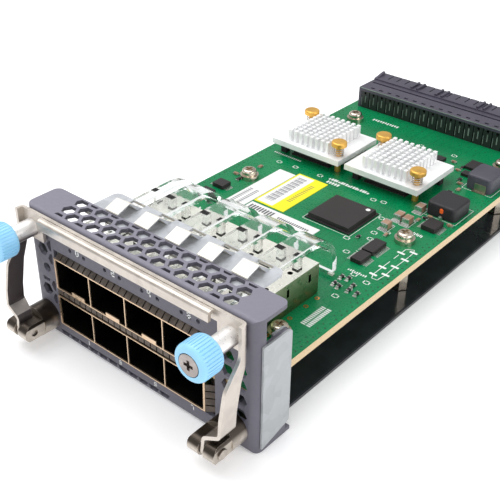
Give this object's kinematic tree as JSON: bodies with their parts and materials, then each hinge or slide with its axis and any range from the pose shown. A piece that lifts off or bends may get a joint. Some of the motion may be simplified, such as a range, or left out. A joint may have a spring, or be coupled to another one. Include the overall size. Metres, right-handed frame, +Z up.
{
  "type": "switch expansion module",
  "caption": "Slide-in switch expansion module: folded faceplate with stacked port cages and bail handle, circuit board on a tray, heat sinks and a rear plug connector.",
  "frame": {"origin": "front plane of the faceplate, under the middle of the port cages, at the underside of the tray", "axes": "+X to the right along the faceplate, +Y back into the chassis, +Z up from the tray to the components"},
  "size_m": [0.0881, 0.2014, 0.0446],
  "materials": {
    "paint": "fine textured grey-violet paint",
    "galvanised": "galvanised sheet",
    "nickel": "nickel plated, warm",
    "tin": "tin plated spring sheet",
    "steel_screw": "zinc plated",
    "spring": "spring wire",
    "knob": "light blue moulded",
    "solder_mask": "green solder mask over glass-fibre laminate",
    "tray": "black coated sheet",
    "film": "black insulating film",
    "sink": "bright anodised",
    "brass": "plain",
    "chip": "black moulded epoxy",
    "coil": "moulded iron powder",
    "ceramic": "tan ceramic",
    "pad": "thermal pad",
    "plug": "dark grey moulded",
    "contact": "gold plated",
    "clear": "clear moulded acrylic",
    "lamp": "diffuse",
    "paper_white": "paper label",
    "paper_yellow": "paper label"
  },
  "bodies": {
    "chassis": {"backplane_connector_housing": "plug", "board_screws": "steel_screw", "ceramic_capacitors": "ceramic", "chip_resistors": "chip", "circuit_board": "solder_mask", "connector_blades": "contact", "connector_wafers": "plug", "faceplate": "paint", "grounding_finger_strip": "galvanised", "handle_post_left": "nickel", "handle_post_right": "nickel", "heat_sink_corner_pads": "chip", "heat_sink_left": "sink", "heat_sink_push_pins": "brass", "heat_sink_right": "sink", "indicator_lamps": "lamp", "insulating_film": "film", "light_pipes": "clear", "logic_chips": "chip", "long_label": "paper_white", "lower_cage_fingers": "tin", "lower_host_connectors": "plug", "lower_port_cage": "nickel", "main_chip": "chip", "middle_finger_strip": "tin", "pivot_pin_left": "nickel", "pivot_pin_right": "nickel", "power_chip": "chip", "power_coil_front": "coil", "power_coil_rear": "coil", "push_pin_springs": "spring", "rear_chips": "chip", "screw_washers": "steel_screw", "side_clip_left": "galvanised", "side_clip_right": "galvanised", "standoffs": "steel_screw", "status_light_pipe": "clear", "thermal_pad_left": "pad", "thermal_pad_right": "pad", "transceiver_chip_left": "chip", "transceiver_chip_right": "chip", "tray": "tray", "tray_rivets": "steel_screw", "upper_cage_fingers": "tin", "upper_host_connectors": "plug", "upper_port_cage": "nickel", "white_label": "paper_white", "yellow_label": "paper_yellow"},
    "bail": {"handle": "nickel", "ferrule_left": "nickel", "ferrule_right": "nickel", "screw_spring_left": "spring", "screw_spring_right": "spring"},
    "slider_left": {"thrust_washer_left": "steel_screw"},
    "screw_left": {"thumbscrew_left": "steel_screw", "knob_left": "knob"},
    "slider_right": {"thrust_washer_right": "steel_screw"},
    "screw_right": {"thumbscrew_right": "steel_screw", "knob_right": "knob"}
  },
  "joints": [
    {"name": "bail_swing", "type": "hinge", "parent": "chassis", "child": "bail", "pos_m": [0.0015, -0.0093, 0.0064], "axis": [1, 0, 0], "range_deg": [0, 85]},
    {"name": "screw_travel_left", "type": "slide", "parent": "bail", "child": "slider_left", "axis": [0, 1, 0], "range_m": [0, 0.0035], "deforming": ["screw_spring_left"]},
    {"name": "screw_turn_left", "type": "hinge", "parent": "slider_left", "child": "screw_left", "pos_m": [-0.0359, -0.0125, 0.037], "axis": [0, 1, 0], "range_deg": [0, 1800]},
    {"name": "screw_travel_right", "type": "slide", "parent": "bail", "child": "slider_right", "axis": [0, 1, 0], "range_m": [0, 0.0035], "deforming": ["screw_spring_right"]},
    {"name": "screw_turn_right", "type": "hinge", "parent": "slider_right", "child": "screw_right", "pos_m": [0.0389, -0.0125, 0.037], "axis": [0, 1, 0], "range_deg": [0, 1800]}
  ],
  "couplings": [
    {"joint": "screw_turn_left", "follows": "screw_travel_left", "rad_per_m": 8976},
    {"joint": "screw_turn_right", "follows": "screw_travel_right", "rad_per_m": 8976}
  ]
}
